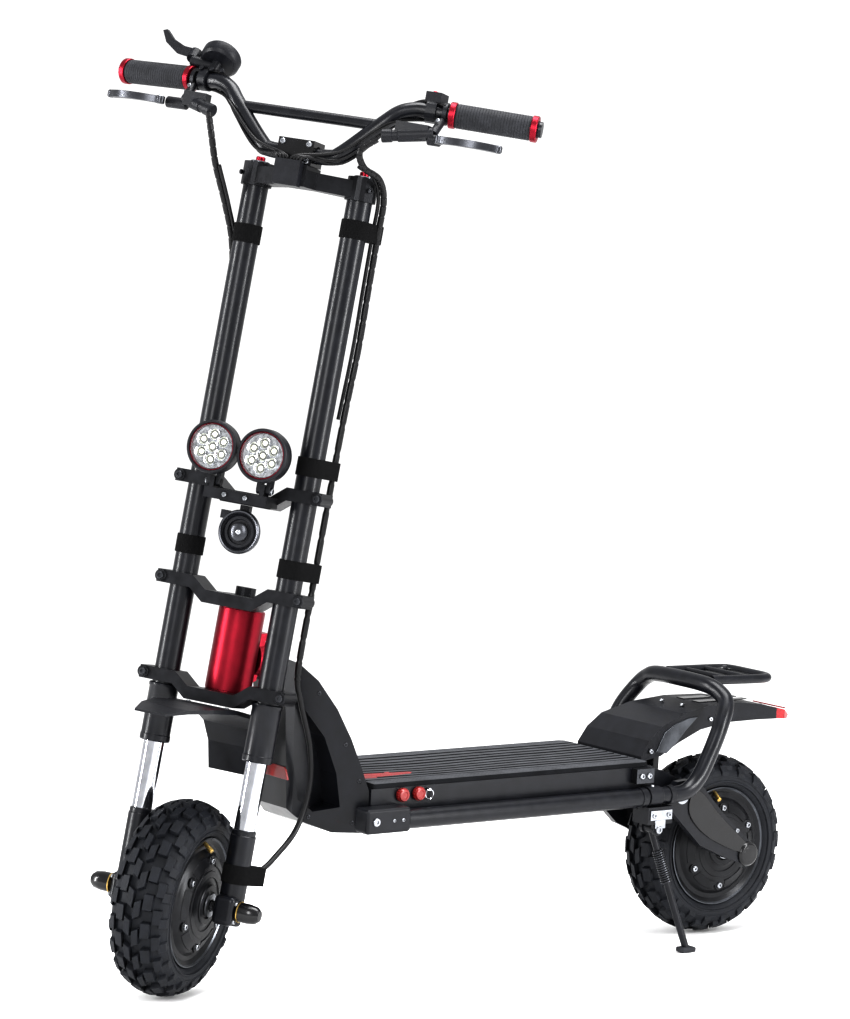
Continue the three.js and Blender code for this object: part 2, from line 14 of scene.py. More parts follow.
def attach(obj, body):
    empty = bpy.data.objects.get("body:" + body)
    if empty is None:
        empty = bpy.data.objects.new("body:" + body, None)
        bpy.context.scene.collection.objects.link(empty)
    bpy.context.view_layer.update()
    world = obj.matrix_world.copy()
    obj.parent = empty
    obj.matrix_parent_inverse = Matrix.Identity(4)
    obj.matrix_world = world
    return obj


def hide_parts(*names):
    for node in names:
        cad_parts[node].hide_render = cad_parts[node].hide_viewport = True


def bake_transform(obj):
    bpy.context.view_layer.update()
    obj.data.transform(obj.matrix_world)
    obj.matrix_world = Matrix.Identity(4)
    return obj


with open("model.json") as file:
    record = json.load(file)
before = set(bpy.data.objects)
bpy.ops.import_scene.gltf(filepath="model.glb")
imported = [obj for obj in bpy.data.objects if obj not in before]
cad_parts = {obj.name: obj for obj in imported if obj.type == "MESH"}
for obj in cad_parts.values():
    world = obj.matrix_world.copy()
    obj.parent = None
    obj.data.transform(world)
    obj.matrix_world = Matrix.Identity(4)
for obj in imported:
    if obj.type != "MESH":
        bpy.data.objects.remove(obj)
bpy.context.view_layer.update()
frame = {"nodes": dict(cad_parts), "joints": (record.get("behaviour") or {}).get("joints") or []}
JOINTS = {joint["name"]: joint for joint in frame["joints"]}

# ---- sizes, in millimetres ----
TYRE_R = 140
WHEEL_BASE = 1009
FORK_BASE = (0, 48.2, 132.6)
LEG_X, LEG_Y = 80, -38.4
AXLE_Y, AXLE_Z = -48.9, 2.4
LEG_TOP = 1002.7
LEG_R = 18
CROWNS = {"lower": 304, "middle": 441, "light": 585}
TOP_CROWN_Z = 1036
BAR_R = 11.1
DECK_X = 105
MAT_PLAIN_X = 84                       # the knurl starts here
RAIL_X, RAIL_Z, RAIL_R = 122, 247, 14
SWING_Y, SWING_Z = 869, 242            # pivot of the swingarm
STAND_PIVOT, STAND_FOOT = (116, 800, 198), (155, 849, 16.6)
COLLAR_Z = 346
LAMP_X, LAMP_BACK, LAMP_Z = 38.5, -76, 631
LAMP_HINGE_Y, LAMP_HINGE_Z = -88, 584
HORN_BACK, HORN_Z = -44, 521
BRAKE_X, BRAKE_Y = 206, -102           # pivot of the left brake lever
BRAKE_SHIFT = 14                       # how much further out the right one is
FRONT, UP = (0, -1, 0), (0, 0, 1)
SIDES = (("left", 1), ("right", -1))


def columns(x, y, z, origin, scale=0.001):
    """A matrix whose columns are three directions and an origin in metres."""
    matrix = Matrix.Identity(4)
    for i, axis in enumerate((x, y, z)):
        for row in range(3):
            matrix[row][i] = axis[row] * scale
    for row in range(3):
        matrix[row][3] = origin[row]
    return matrix


def frames():
    """The ground, head and fork frames, from the wheels' spin axes and the steering axis."""
    rear = JOINTS["rear_spin"]
    across = Vector(rear["axis"]).normalized()
    along = Vector((0, 1, 0))
    up = across.cross(along)
    origin = Vector(rear["pos_m"]) - along * WHEEL_BASE * 0.001 - up * TYRE_R * 0.001
    ground_frame = columns(across, along, up, origin)
    axis = Vector(JOINTS["steer"]["axis"]).normalized()
    base = ground_frame @ Vector(FORK_BASE)
    head_frame = columns(across, axis.cross(across), axis, base)
    turned = Vector(JOINTS["front_spin"]["axis"]).normalized()
    fork_frame = columns(turned, axis.cross(turned), axis, base)
    return ground_frame, head_frame, fork_frame


GROUND, HEAD, FORK = frames()


# ---- camera and studio ----
def make_camera():
    """At the viewing angle of the product picture: level, from the rider's left front."""
    azimuth, elevation = math.radians(52.74), math.radians(2.09)
    distance = 5.475
    target = GROUND @ Vector((9.2, 424.1, 676.3))
    back = Vector((math.sin(azimuth) * math.cos(elevation), -math.cos(azimuth) * math.cos(elevation),
                   math.sin(elevation)))
    data = bpy.data.cameras.new("camera")
    data.sensor_width = 36
    data.lens = 133.1
    data.clip_end = 400
    camera = bpy.data.objects.new("camera", data)
    camera.location = target + back * distance
    camera.rotation_euler = back.to_track_quat("Z", "Y").to_euler()
    bpy.context.scene.collection.objects.link(camera)
    bpy.context.scene.camera = camera


def area_light(name, place, size, power, aim):
    data = bpy.data.lights.new(name, "AREA")
    data.shape = "RECTANGLE"
    data.size, data.size_y = size
    data.energy = power
    light = bpy.data.objects.new(name, data)
    light.location = place
    light.rotation_euler = (Vector(place) - Vector(aim)).to_track_quat("Z", "Y").to_euler()
    bpy.context.scene.collection.objects.link(light)


def make_studio():
    scene = bpy.context.scene
    scene.view_settings.view_transform = "Standard"
    scene.view_settings.gamma = 0.7
    world = bpy.data.worlds.new("studio")
    world.use_nodes = True
    background = world.node_tree.nodes["Background"]
    background.inputs["Color"].default_value = (1, 1, 1, 1)
    background.inputs["Strength"].default_value = 1.12
    scene.world = world
    bpy.ops.mesh.primitive_plane_add(size=400, location=(0, 0, 0))
    floor = bpy.context.object
    floor.name = "studio_floor"
    finish = material("floor", (0.96, 0.96, 0.96), 0.95, vary=0.01, scale=3, specular=0.1)
    floor.data.materials.append(finish)
    middle = (0, 0, 0.6)
    area_light("key", (2.4, -3.6, 2.2), (0.9, 2.4), 130, middle)
    area_light("strip_left", (3.4, 1.4, 1.3), (0.35, 2.6), 190, middle)
    area_light("strip_right", (-1.6, -3.6, 1.3), (0.3, 2.6), 170, middle)
    area_light("top", (0.4, 0.4, 3.2), (1.4, 2.4), 150, middle)


# ---- materials ----
def material(name, colour, roughness, metallic=0.0, vary=0.25, scale=60.0, bump=0.0, coat=0.0,
             rough_vary=0.12, emission=0.0, specular=0.5):
    """A principled surface whose colour, roughness and bump come from noise in object space."""
    made = bpy.data.materials.new(name)
    made.use_nodes = True
    nodes, links = made.node_tree.nodes, made.node_tree.links
    shader = nodes["Principled BSDF"]
    shader.inputs["Metallic"].default_value = metallic
    shader.inputs["Coat Weight"].default_value = coat
    shader.inputs["Coat Roughness"].default_value = 0.2
    shader.inputs["Specular IOR Level"].default_value = specular
    coordinates = nodes.new("ShaderNodeTexCoord")
    noise = nodes.new("ShaderNodeTexNoise")
    noise.inputs["Scale"].default_value = scale
    noise.inputs["Detail"].default_value = 6
    links.new(coordinates.outputs["Object"], noise.inputs["Vector"])
    ramp = nodes.new("ShaderNodeValToRGB")
    ramp.color_ramp.elements[0].position = 0.3
    ramp.color_ramp.elements[1].position = 0.7
    ramp.color_ramp.elements[0].color = (*[c * (1 - vary) for c in colour], 1)
    ramp.color_ramp.elements[1].color = (*[min(1, c * (1 + vary)) for c in colour], 1)
    links.new(noise.outputs["Fac"], ramp.inputs["Fac"])
    links.new(ramp.outputs["Color"], shader.inputs["Base Color"])
    spread = nodes.new("ShaderNodeMapRange")
    spread.inputs["To Min"].default_value = max(0.02, roughness - rough_vary / 2)
    spread.inputs["To Max"].default_value = min(1.0, roughness + rough_vary / 2)
    links.new(noise.outputs["Fac"], spread.inputs["Value"])
    links.new(spread.outputs["Result"], shader.inputs["Roughness"])
    if bump:
        fine = nodes.new("ShaderNodeTexNoise")
        fine.inputs["Scale"].default_value = scale * 14
        fine.inputs["Detail"].default_value = 3
        links.new(coordinates.outputs["Object"], fine.inputs["Vector"])
        relief = nodes.new("ShaderNodeBump")
        relief.inputs["Strength"].default_value = bump
        relief.inputs["Distance"].default_value = 0.0006
        links.new(fine.outputs["Fac"], relief.inputs["Height"])
        links.new(relief.outputs["Normal"], shader.inputs["Normal"])
    if emission:
        links.new(ramp.outputs["Color"], shader.inputs["Emission Color"])
        shader.inputs["Emission Strength"].default_value = emission
    return made


def make_materials():
    return {
        "paint": material("satin_black_paint", (0.0062, 0.0068, 0.0096), 0.32, bump=0.12,
                          specular=0.32, coat=0.06),
        "crown": material("anodised_black", (0.016, 0.0165, 0.019), 0.4, 0.6, bump=0.15, specular=0.4),
        "plastic": material("moulded_black_plastic", (0.008, 0.0086, 0.0115), 0.42, bump=0.25,
                            specular=0.3),
        "gloss": material("gloss_black_plastic", (0.006, 0.006, 0.007), 0.2, specular=0.4, coat=0.2),
        "cable": material("cable_jacket", (0.006, 0.006, 0.007), 0.4, bump=0.1, specular=0.3),
        "motor": material("motor_shell", (0.012, 0.0125, 0.0145), 0.34, 0.4, bump=0.12, specular=0.4),
        "motor_edge": material("worn_rim_edge", (0.09, 0.095, 0.105), 0.3, 0.85),
        "tyre": material("tyre_rubber", (0.0095, 0.0108, 0.0145), 0.55, scale=90, bump=0.6, specular=0.28),
        "mat": material("deck_rubber", (0.05, 0.052, 0.058), 0.6, scale=40, bump=0.5, specular=0.3),
        # painted shade: the mat's sunk faces get a rubber about five times darker and duller than its top,
        # standing in for shade in the grooves and knurl
        "mat_groove_shade": material("deck_rubber_painted_groove_shade", (0.01, 0.0105, 0.012), 0.8, scale=40, bump=0.3,
                            specular=0.1),
        "print": material("deck_print_red", (0.2, 0.018, 0.02), 0.5, scale=120, bump=0.3),
        "grip": material("grip_rubber", (0.026, 0.027, 0.031), 0.66, scale=80, bump=0.5, specular=0.28),
        "red": material("red_anodised", (0.2, 0.009, 0.022), 0.38, 0.8, vary=0.1, bump=0.08),
        "port_red": material("red_plastic", (0.2, 0.012, 0.012), 0.3, vary=0.12, coat=0.3),
        "chrome": material("chrome", (0.52, 0.53, 0.56), 0.1, 1.0, vary=0.1, rough_vary=0.06),
        "steel": material("zinc_steel", (0.33, 0.34, 0.36), 0.3, 1.0, vary=0.15, bump=0.1),
        "dark_steel": material("black_oxide_steel", (0.06, 0.062, 0.068), 0.32, 0.9, vary=0.2, bump=0.1),
        "grey": material("grey_anodised", (0.055, 0.057, 0.064), 0.3, 0.7, vary=0.15, bump=0.1),
        "brass": material("yellow_zinc", (0.5, 0.36, 0.13), 0.3, 0.9, vary=0.15),
        "strap": material("hook_and_loop_strap", (0.006, 0.006, 0.0065), 0.9, scale=300, bump=0.9,
                          specular=0.15),
        "lamp": material("red_lens", (0.24, 0.01, 0.014), 0.2, scale=200, coat=0.3, specular=0.3),
        "led": material("led", (0.8, 0.8, 0.62), 0.3, vary=0.1, emission=0.1),
        "reflector": material("lamp_reflector", (0.36, 0.37, 0.39), 0.12, 1.0, vary=0.7, scale=170),
        "glass": clear_glass(),
        "screen": material("dark_screen", (0.004, 0.0045, 0.006), 0.08, specular=0.4),
    }


def clear_glass():
    made = material("clear_lens", (0.95, 0.97, 1.0), 0.04, vary=0.02, rough_vary=0.02)
    shader = made.node_tree.nodes["Principled BSDF"]
    shader.inputs["Alpha"].default_value = 0.04
    shader.inputs["IOR"].default_value = 1.5
    return made


# ---- mesh tools ----
def put(into, verts, faces):
    base = [into.verts.new(v) for v in verts]
    for face in faces:
        into.faces.new([base[i] for i in face])


def basis(direction):
    """Two directions square to this one."""
    w = Vector(direction).normalized()
    helper = Vector((0, 0, 1)) if abs(w.z) < 0.9 else Vector((0, 1, 0))
    u = helper.cross(w).normalized()
    return u, w.cross(u), w


def lathe(into, profile, start, direction, sides=48):
    """Turns [radius, distance] points about an axis. The profile is a closed outline or ends on it."""
    u, v, w = basis(direction)
    start = Vector(start)
    verts = []
    for r, d in profile:
        for i in range(sides):
            a = 2 * math.pi * i / sides
            verts.append(start + w * d + (u * math.cos(a) + v * math.sin(a)) * r)
    faces = []
    for k in range(len(profile) - 1):
        for i in range(sides):
            j = (i + 1) % sides
            faces.append((k * sides + i, k * sides + j, (k + 1) * sides + j, (k + 1) * sides + i))
    put(into, verts, faces)


def rod(into, a, b, r, sides=32, edge=0.0):
    length = (Vector(b) - Vector(a)).length
    profile = [(0, 0), (r - edge, 0), (r, edge), (r, length - edge), (r - edge, length), (0, length)]
    lathe(into, profile, a, Vector(b) - Vector(a), sides)


def ring(into, a, b, bore, r, sides=40, edge=0.6):
    length = (Vector(b) - Vector(a)).length
    profile = [(bore, 0), (r - edge, 0), (r, edge), (r, length - edge), (r - edge, length), (bore, length),
               (bore, 0)]
    lathe(into, profile, a, Vector(b) - Vector(a), sides)


def smooth_route(points, steps):
    """Catmull-Rom points through the route."""
    points = [Vector(p) for p in points]
    padded = [points[0] * 2 - points[1], *points, points[-1] * 2 - points[-2]]
    out = []
    for i in range(len(points) - 1):
        p0, p1, p2, p3 = padded[i:i + 4]
        for s in range(steps):
            t = s / steps
            out.append(0.5 * (2 * p1 + (p2 - p0) * t + (2 * p0 - 5 * p1 + 4 * p2 - p3) * t * t
                              + (3 * p1 - p0 - 3 * p2 + p3) * t ** 3))
    return [*out, points[-1]]


def tube(into, route, radius, sides=16):
    """A closed tube along points. radius is a number or one value for each point."""
    count = len(route)
    radii = [radius] * count if isinstance(radius, (int, float)) else radius
    tangents = [(route[min(i + 1, count - 1)] - route[max(i - 1, 0)]).normalized() for i in range(count)]
    side = basis(tangents[0])[0]
    verts = []
    for point, tangent, r in zip(route, tangents, radii):
        side = (side - tangent * side.dot(tangent)).normalized()
        other = tangent.cross(side)
        for i in range(sides):
            a = 2 * math.pi * i / sides
            verts.append(point + (side * math.cos(a) + other * math.sin(a)) * r)
    faces = [tuple(reversed(range(sides))), tuple(range((count - 1) * sides, count * sides))]
    for k in range(count - 1):
        for i in range(sides):
            j = (i + 1) % sides
            faces.append((k * sides + i, k * sides + j, (k + 1) * sides + j, (k + 1) * sides + i))
    put(into, verts, faces)


def slab(into, verts):
    """Two outlines with the same number of points, joined into a solid."""
    count = len(verts) // 2
    faces = [tuple(range(count)), tuple(range(count, 2 * count))]
    faces += [(i, (i + 1) % count, count + (i + 1) % count, count + i) for i in range(count)]
    put(into, verts, faces)


def prism(into, outline, low, high, plane="xy"):
    """An outline pushed from low to high. plane names the outline's two axes."""
    order = {"xy": (0, 1, 2), "yz": (1, 2, 0), "xz": (0, 2, 1)}[plane]
    verts = []
    for depth in (low, high):
        for a, b in outline:
            point = [0, 0, 0]
            point[order[0]], point[order[1]], point[order[2]] = a, b, depth
            verts.append(Vector(point))
    slab(into, verts)


def block(into, low, high):
    (x0, y0, z0), (x1, y1, z1) = low, high
    prism(into, [(x0, y0), (x1, y0), (x1, y1), (x0, y1)], z0, z1)


def piece(name, into, place, finish, body, stands_for=(), bevel=0.0, smooth=35, segments=2):
    """Turns a bmesh in millimetres into an object in its frame, riding a body."""
    bmesh.ops.remove_doubles(into, verts=into.verts, dist=0.002)
    bmesh.ops.recalc_face_normals(into, faces=into.faces)
    mesh = bpy.data.meshes.new(name)
    into.to_mesh(mesh)
    into.free()
    mesh.transform(place)
    mesh.materials.append(MATERIALS[finish])
    made = bpy.data.objects.new(name, mesh)
    bpy.context.scene.collection.objects.link(made)
    shade(made, smooth, bevel, segments)
    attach(made, body)
    nodes = [stands_for] if isinstance(stands_for, str) else stands_for
    if nodes:
        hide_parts(*nodes)
    return made


def shade(made, smooth, bevel, segments):
    """Smooth shading up to an angle, and a small round on sharp edges."""
    for polygon in made.data.polygons:
        polygon.use_smooth = True
    made.data.set_sharp_from_angle(angle=math.radians(smooth))
    if not bevel:
        return
    edge = made.modifiers.new("edge", "BEVEL")
    edge.width = bevel * 0.001
    edge.segments = segments
    edge.limit_method = "ANGLE"
    edge.angle_limit = math.radians(40)
    edge.harden_normals = True


def keep(node, finish, bevel=1.0, smooth=35, segments=2):
    """A solid whose shape is right: it gets its surface, smooth shading and rounded edges."""
    made = frame["nodes"][node]
    made.data.materials.clear()
    made.data.materials.append(MATERIALS[finish])
    shade(made, smooth, bevel, segments)


def steel_piece(name, into, place, body):
    piece(name, into, place, "steel", body)


def bolt(into, place, direction, r=4.5, height=4, socket=True):
    """A socket cap screw head."""
    w = Vector(direction).normalized()
    hollow = r * 0.5
    profile = [(0, 0), (r, 0), (r, height - 0.8), (r - 0.8, height), (hollow, height),
               (hollow, height - 1.8), (0, height - 1.8)]
    if not socket:
        profile = [(0, 0), (r, 0), (r, height * 0.4), (r * 0.7, height * 0.85), (0, height)]
    lathe(into, profile, Vector(place), w, 20)


# ---- wheels ----
TREAD = [(0, 139.7), (12, 138.5), (26, 133.7), (38, 126.2), (44.2, 117), (43, 104)]


def tread_radius(x):
    """Outer radius of the tyre this far from its middle."""
    x = abs(x)
    for (x0, r0), (x1, r1) in zip(TREAD, TREAD[1:]):
        if x <= x1:
            return r0 + (r1 - r0) * (x - x0) / (x1 - x0)
    return TREAD[-1][1]


def on_hub(centre, x, r, angle):
    """A point this far across the wheel and this far from its axis, at an angle round it."""
    return Vector((centre[0] + x, centre[1] + r * math.cos(angle), centre[2] + r * math.sin(angle)))


def knob(into, centre, across, around, depth=8.0, lean=0.0):
    """One tread block between two positions across the tyre and two angles round it."""
    verts = []
    for sink, taper in ((depth, 0.0), (0, 0.08)):
        trim = taper * (around[1] - around[0])
        for i, x in enumerate((across[0], across[1], across[1], across[0])):
            angle = (around[0] + trim if i < 2 else around[1] - trim) + lean * (x - across[0])
            verts.append(on_hub(centre, x, tread_radius(x) - sink, angle))
    put(into, verts, [(0, 1, 2, 3), (7, 6, 5, 4), (0, 4, 5, 1), (1, 5, 6, 2), (2, 6, 7, 3), (3, 7, 4, 0)])


def make_tyre(end, centre, place, body):
    into = bmesh.new()
    half = [(84.6, 26.6), (88, 30), (92.4, 34), (96, 39), (104, 42.4), (112, 42.6), (118, 39.5), (123, 34),
            (128.5, 22), (131.2, 10), (131.8, 0)]
    other = [(r, -x) for r, x in reversed(half[:-1])]
    lathe(into, [*half, *other, half[0]], centre, (1, 0, 0), 96)
    for r in (100, 108):
        ring_half = [(r, 41.5), (r + 1, 43.2), (r + 3, 43.2), (r + 4, 41.5), (r, 41.5)]
        for s in (1, -1):
            lathe(into, [(a, s * b) for a, b in ring_half], centre, (1, 0, 0), 96)
    piece(f"{end}_tyre_carcass", into, place, "tyre", body, f"{end}_tyre", smooth=40)
    into = bmesh.new()
    count = 21
    pitch = 2 * math.pi / count
    for k in range(count):
        a = k * pitch
        knob(into, centre, (-11, -1.4), (a, a + pitch * 0.66), lean=0.004)
        knob(into, centre, (1.4, 11), (a + pitch * 0.5, a + pitch * 1.16), lean=-0.004)
        for s, shift in ((1, 0.0), (-1, 0.5)):
            start = a + shift * pitch
            knob(into, centre, sorted((s * 13.5, s * 25.5)), (start + pitch * 0.16, start + pitch * 0.8))
            outer = (start + pitch * 0.66, start + pitch * 1.28)
            knob(into, centre, sorted((s * 28.5, s * 38)), outer, 8.5)
            knob(into, centre, sorted((s * 36.5, s * 44)), (start, start + pitch * 0.42), 7)
    piece(f"{end}_tyre_knobs", into, place, "tyre", body, bevel=0.7, smooth=25, segments=1)


def make_hub(end, centre, place, body):
    into = bmesh.new()
    half = [(8, 49.6), (29, 49.6), (31, 48.6), (33, 47.6), (50, 46.6), (57, 45.6), (70, 39.5),
            (73, 36), (76, 33.5), (83, 32.5), (84.5, 33.4)]
    rim = [(89.5, 36.8), (91.6, 37.6), (92, 36.4), (91.4, 31), (84, 27)]
    both = [*half, *rim]
    lathe(into, [*both, *[(r, -x) for r, x in reversed(both)], both[0]], centre, (1, 0, 0), 96)
    piece(f"{end}_hub_shell", into, place, "motor", body, f"{end}_hub", smooth=30)
    into, edge, bolts, caps = bmesh.new(), bmesh.new(), bmesh.new(), bmesh.new()
    for s in (1, -1):
        out = (s, 0, 0)
        lathe(edge, [(88.6, 36.2), (90.6, 38), (92.2, 37.6), (92.2, 36)], centre, out, 96)
        lathe(into, [(0, 49.4), (18, 49.4), (20, 52), (27.5, 52), (29, 50.8), (29, 49)], centre, out, 64)
        lathe(into, [(38, 46.8), (38.5, 48.2), (47, 47.8), (48, 46.4)], centre, out, 64)
        for k in range(6):
            a = math.radians(30 + 60 * k)
            bolt(bolts, on_hub(centre, s * 43.5, 61, a), out, 4.6, 4.2)
            pad = [(0, 0), (8.2, 0), (8.2, 2.2), (7.4, 3), (0, 3)]
            lathe(caps, pad, on_hub(centre, s * 42, 61, a), out, 24)
            steps = 10
            verts, faces = [], []
            for i in range(steps + 1):
                b = a + math.radians(11 + 38 * i / steps)
                for r, lift in ((53.5, -2), (54.7, 1.6), (67.3, 1.6), (68.5, -2)):
                    verts.append(on_hub(centre, s * (46.2 - (r - 53.5) * 0.44 + lift), r, b))
            for i in range(steps):
                for n in range(i * 4, i * 4 + 3):
                    faces.append((n, n + 1, n + 5, n + 4))
            faces += [(0, 1, 2, 3), tuple(steps * 4 + j for j in (3, 2, 1, 0))]
            put(caps, verts, faces)
    piece(f"{end}_hub_rim_edge", edge, place, "motor_edge", body, smooth=40)
    piece(f"{end}_hub_covers", into, place, "motor", body, smooth=30)
    piece(f"{end}_hub_arcs", caps, place, "motor", body, smooth=30, bevel=0.4)
    piece(f"{end}_hub_bolts", bolts, place, "steel", body, smooth=30)
    into = bmesh.new()
    stem = on_hub(centre, 33, 84, math.radians(96))
    rod(into, stem, stem + Vector((11, -2, -7)), 3, 16, 0.6)
    rod(into, stem + Vector((8, -1.5, -5)), stem + Vector((14, -2.5, -9)), 3.8, 12, 0.6)
    piece(f"{end}_valve", into, place, "brass", body, smooth=30)


def make_axle(end, centre, place, body, reach, tip, r):
    into, washers, spacers = bmesh.new(), bmesh.new(), bmesh.new()
    core = [(0, -reach), (7.5, -reach), (7.5, reach), (0, reach)]
    lathe(into, core, centre, (1, 0, 0), 32)
    for s in (1, -1):
        dome = tip - reach
        cap = [(0, reach + 2), (r, reach + 2), (r, reach + dome * 0.45), (r * 0.86, tip - dome * 0.2),
               (r * 0.55, tip - 1.5), (0, tip)]
        lathe(into, cap, centre, (s, 0, 0), 40)
        lathe(washers, [(7, reach + 0.2), (r + 0.8, reach + 0.2), (r + 0.8, reach + 1.8), (7, reach + 1.8)],
              centre, (s, 0, 0), 40)
        spacer = [(9, 53), (17, 53), (17, 55.5), (9, 55.5), (9, 53)]
        lathe(spacers, spacer, centre, (s, 0, 0), 40)
    piece(f"{end}_axle_caps", into, place, "gloss", body, f"{end}_axle", smooth=35)
    finish = "brass" if end == "front" else "dark_steel"
    piece(f"{end}_axle_washers", washers, place, finish, body)
    piece(f"{end}_axle_spacers", spacers, place, "steel", body, smooth=35)


def make_wheels():
    front, rear = (0, AXLE_Y, AXLE_Z), (0, WHEEL_BASE, TYRE_R)
    for end, centre, place, hold, reach, tip, r in (("front", front, FORK, "lower_fork", 99.3, 132, 14),
                                                    ("rear", rear, GROUND, "rear_arm", 105.4, 113, 13)):
        make_tyre(end, centre, place, f"{end}_wheel")
        make_hub(end, centre, place, f"{end}_wheel")
        make_axle(end, centre, place, hold, reach, tip, r)
        keep(f"{end}_rotor", "dark_steel", 0.4)
        keep(f"{end}_caliper", "crown", 1.5)
        into = bmesh.new()
        for r, shift in ((44, 0), (53, 15), (61, 0)):
            for k in range(12):
                at = on_hub(centre, 0, r, math.radians(30 * k + shift))
                rod(into, at + Vector((-56.3, 0, 0)), at + Vector((-52.7, 0, 0)), 2.8, 12)
        piece(f"{end}_rotor_holes", into, place, "gloss", f"{end}_wheel")


# ---- deck ----
def mat_half_width(y):
    """The mat narrows a little at its front corners and more at its back ones."""
    if y < 290:
        return DECK_X - (290 - y) / 3
    return DECK_X if y < 792 else DECK_X - 8 * (y - 792) / 11


def mat_height(x, y):
    """Grooves down the middle and a diamond knurl along both sides."""
    if abs(x) > MAT_PLAIN_X:
        a, b = (x + y) / 7.0, (x - y) / 7.0
        return 1.3 * max(abs(math.sin(math.pi * a)), abs(math.sin(math.pi * b))) - 0.7
    return 1.2 if abs(x) > MAT_PLAIN_X - 4 or math.sin(x * 2 * math.pi / 17) > -0.55 else -1.7


def mat_flow(x, y):
    """The middle of the mat is swept sideways, so that its grooves flow."""
    share = max(0, 1 - (x / MAT_PLAIN_X) ** 2)
    return share * (12 * math.sin((y - 330) / 130) + 5 * math.sin((y - 300) / 60))


def print_here(x, y):
    """A red lens-shaped mark at the front left of the mat."""
    along = (y - 325) / 70
    return abs(along) < 1 and abs(x - 46) < 15 * math.sqrt(1 - along * along)


def make_mat():
    into = bmesh.new()
    lanes, rows = 168, 260
    grid = []
    for j in range(rows + 1):
        y = 284.2 + 518.4 * j / rows
        line = []
        for i in range(lanes + 1):
            u = 2 * i / lanes - 1
            edge = min((1 - abs(u)) * lanes / 2, j, rows - j)
            across = u * DECK_X
            height = mat_height(across, y)
            z = 290.5 if edge < 0.5 else 296.6 + (0 if edge < 2.5 else height)
            line.append(into.verts.new((u * (mat_half_width(y) - 0.2) + mat_flow(across, y), y, z)))
        grid.append(line)
    for j in range(rows):
        for i in range(lanes):
            face = into.faces.new((grid[j][i], grid[j][i + 1], grid[j + 1][i + 1], grid[j + 1][i]))
            middle = face.calc_center_median()
            if print_here(middle.x, middle.y):
                face.material_index = 1
            # faces sunk below the mat's top (groove bottoms, knurl valleys, the sloping border) get the
            # painted shade rubber
            elif middle.z < 296.4:
                face.material_index = 2
    border = [grid[0][i] for i in range(lanes)] + [grid[j][-1] for j in range(rows)]
    border += [grid[-1][i] for i in range(lanes, 0, -1)] + [grid[j][0] for j in range(rows, 0, -1)]
    into.faces.new(border)
    made = piece("deck_mat_grooved", into, GROUND, "mat", "frame", "deck_mat", smooth=60)
    made.data.materials.append(MATERIALS["print"])
    # third slot: the painted shade for the sunk faces
    made.data.materials.append(MATERIALS["mat_groove_shade"])


def make_deck():
    keep("frame_deck", "paint", 2.5)
    make_mat()
    keep("neck_arch", "paint", 2.5, smooth=50, segments=3)
    keep("kickstand_mount", "plastic", 1.5)
    into = bmesh.new()
    for s in (1, -1):
        for y, z in ((216, 424), (250, 352), (268, 300), (210, 246), (262, 240)):
            x = 40 + 62 * (y - 190) / 92
            bolt(into, (s * (x - 1), y, z), (s, -0.6, 0), 3.2, 1.8)
    piece("neck_screws", into, GROUND, "dark_steel", "frame")
    accent = bmesh.new()
    prism(accent, [(-46, 300), (46, 300), (38, 318), (-38, 318)], 174.6, 178, "xz")
    piece("neck_accent", accent, GROUND, "port_red", "frame", bevel=0.8)
    for side, s in SIDES:
        rail, end_block, bolts = bmesh.new(), bmesh.new(), bmesh.new()
        rod(rail, (s * RAIL_X, 328, RAIL_Z), (s * RAIL_X, 778, RAIL_Z), RAIL_R, 48, 1.2)
        sleeve = [(RAIL_R, 0), (15.2, 0.5), (15.2, 11), (RAIL_R, 11.5)]
        lathe(rail, sleeve, (s * RAIL_X, 766, RAIL_Z), (0, 1, 0), 48)
        piece(f"rail_tube_{side}", rail, GROUND, "paint", "frame", f"rail_{side}")
        low, high = sorted((s * 105.3, s * 137))
        prism(end_block, [(low, 252), (high, 252), (high, 330), (low, 330)], 231, 267)
        piece(f"rail_end_{side}", end_block, GROUND, "plastic", "frame", bevel=5, segments=4)
        for y, r, height in ((268, 6, 2.8), (300, 2.6, 1.6), (316, 2.6, 1.6)):
            bolt(bolts, (s * 136.6, y, 249), (s, 0, 0), r, height)
        for y in (776, 790):
            bolt(bolts, (s * 116.8, y, 278), (s, 0, 0), 4.6, 3)
        bolt(bolts, (s * 96.5, SWING_Y, SWING_Z), (s, 0, 0), 8, 7)
        steel_piece(f"deck_bolts_{side}", bolts, GROUND, "frame")
        keep(f"bracket_{side}", "dark_steel", 1.5)
    into = bmesh.new()
    for y in (340, 470, 600, 730):
        for s in (1, -1):
            bolt(into, (s * DECK_X, y, 240), (s, 0, 0), 3.2, 1.2)
    steel_piece("deck_side_screws", into, GROUND, "frame")


def make_port_caps():
    for name, y in (("front", 334), ("rear", 363)):
        into = bmesh.new()
        start = (105.3, y, 279)
        cap = [(0, 0), (9.6, 0), (9.6, 6), (8, 8.6), (5.5, 8.9), (5, 8), (0, 8)]
        lathe(into, cap, start, (1, 0, 0), 40)
        for k in range(18):
            a = 2 * math.pi * k / 18
            b = Vector((106.5, y + 9.5 * math.cos(a), 279 + 9.5 * math.sin(a)))
            rod(into, b, b + Vector((4.8, 0, 0)), 0.9, 8, 0.2)
        piece(f"port_cap_{name}", into, GROUND, "port_red", f"{name}_port_cap", f"charge_cap_{name}")
    into = bmesh.new()
    route = [Vector((109.5, 381 + 7 * math.cos(a), 277 + 7 * math.sin(a)))
             for a in [2 * math.pi * k / 28 for k in range(29)]]
    tube(into, route, 1.1, 8)
    rod(into, (105.2, 381, 284), (111, 381, 284), 2.4, 12, 0.4)
    piece("key_ring", into, GROUND, "chrome", "frame")


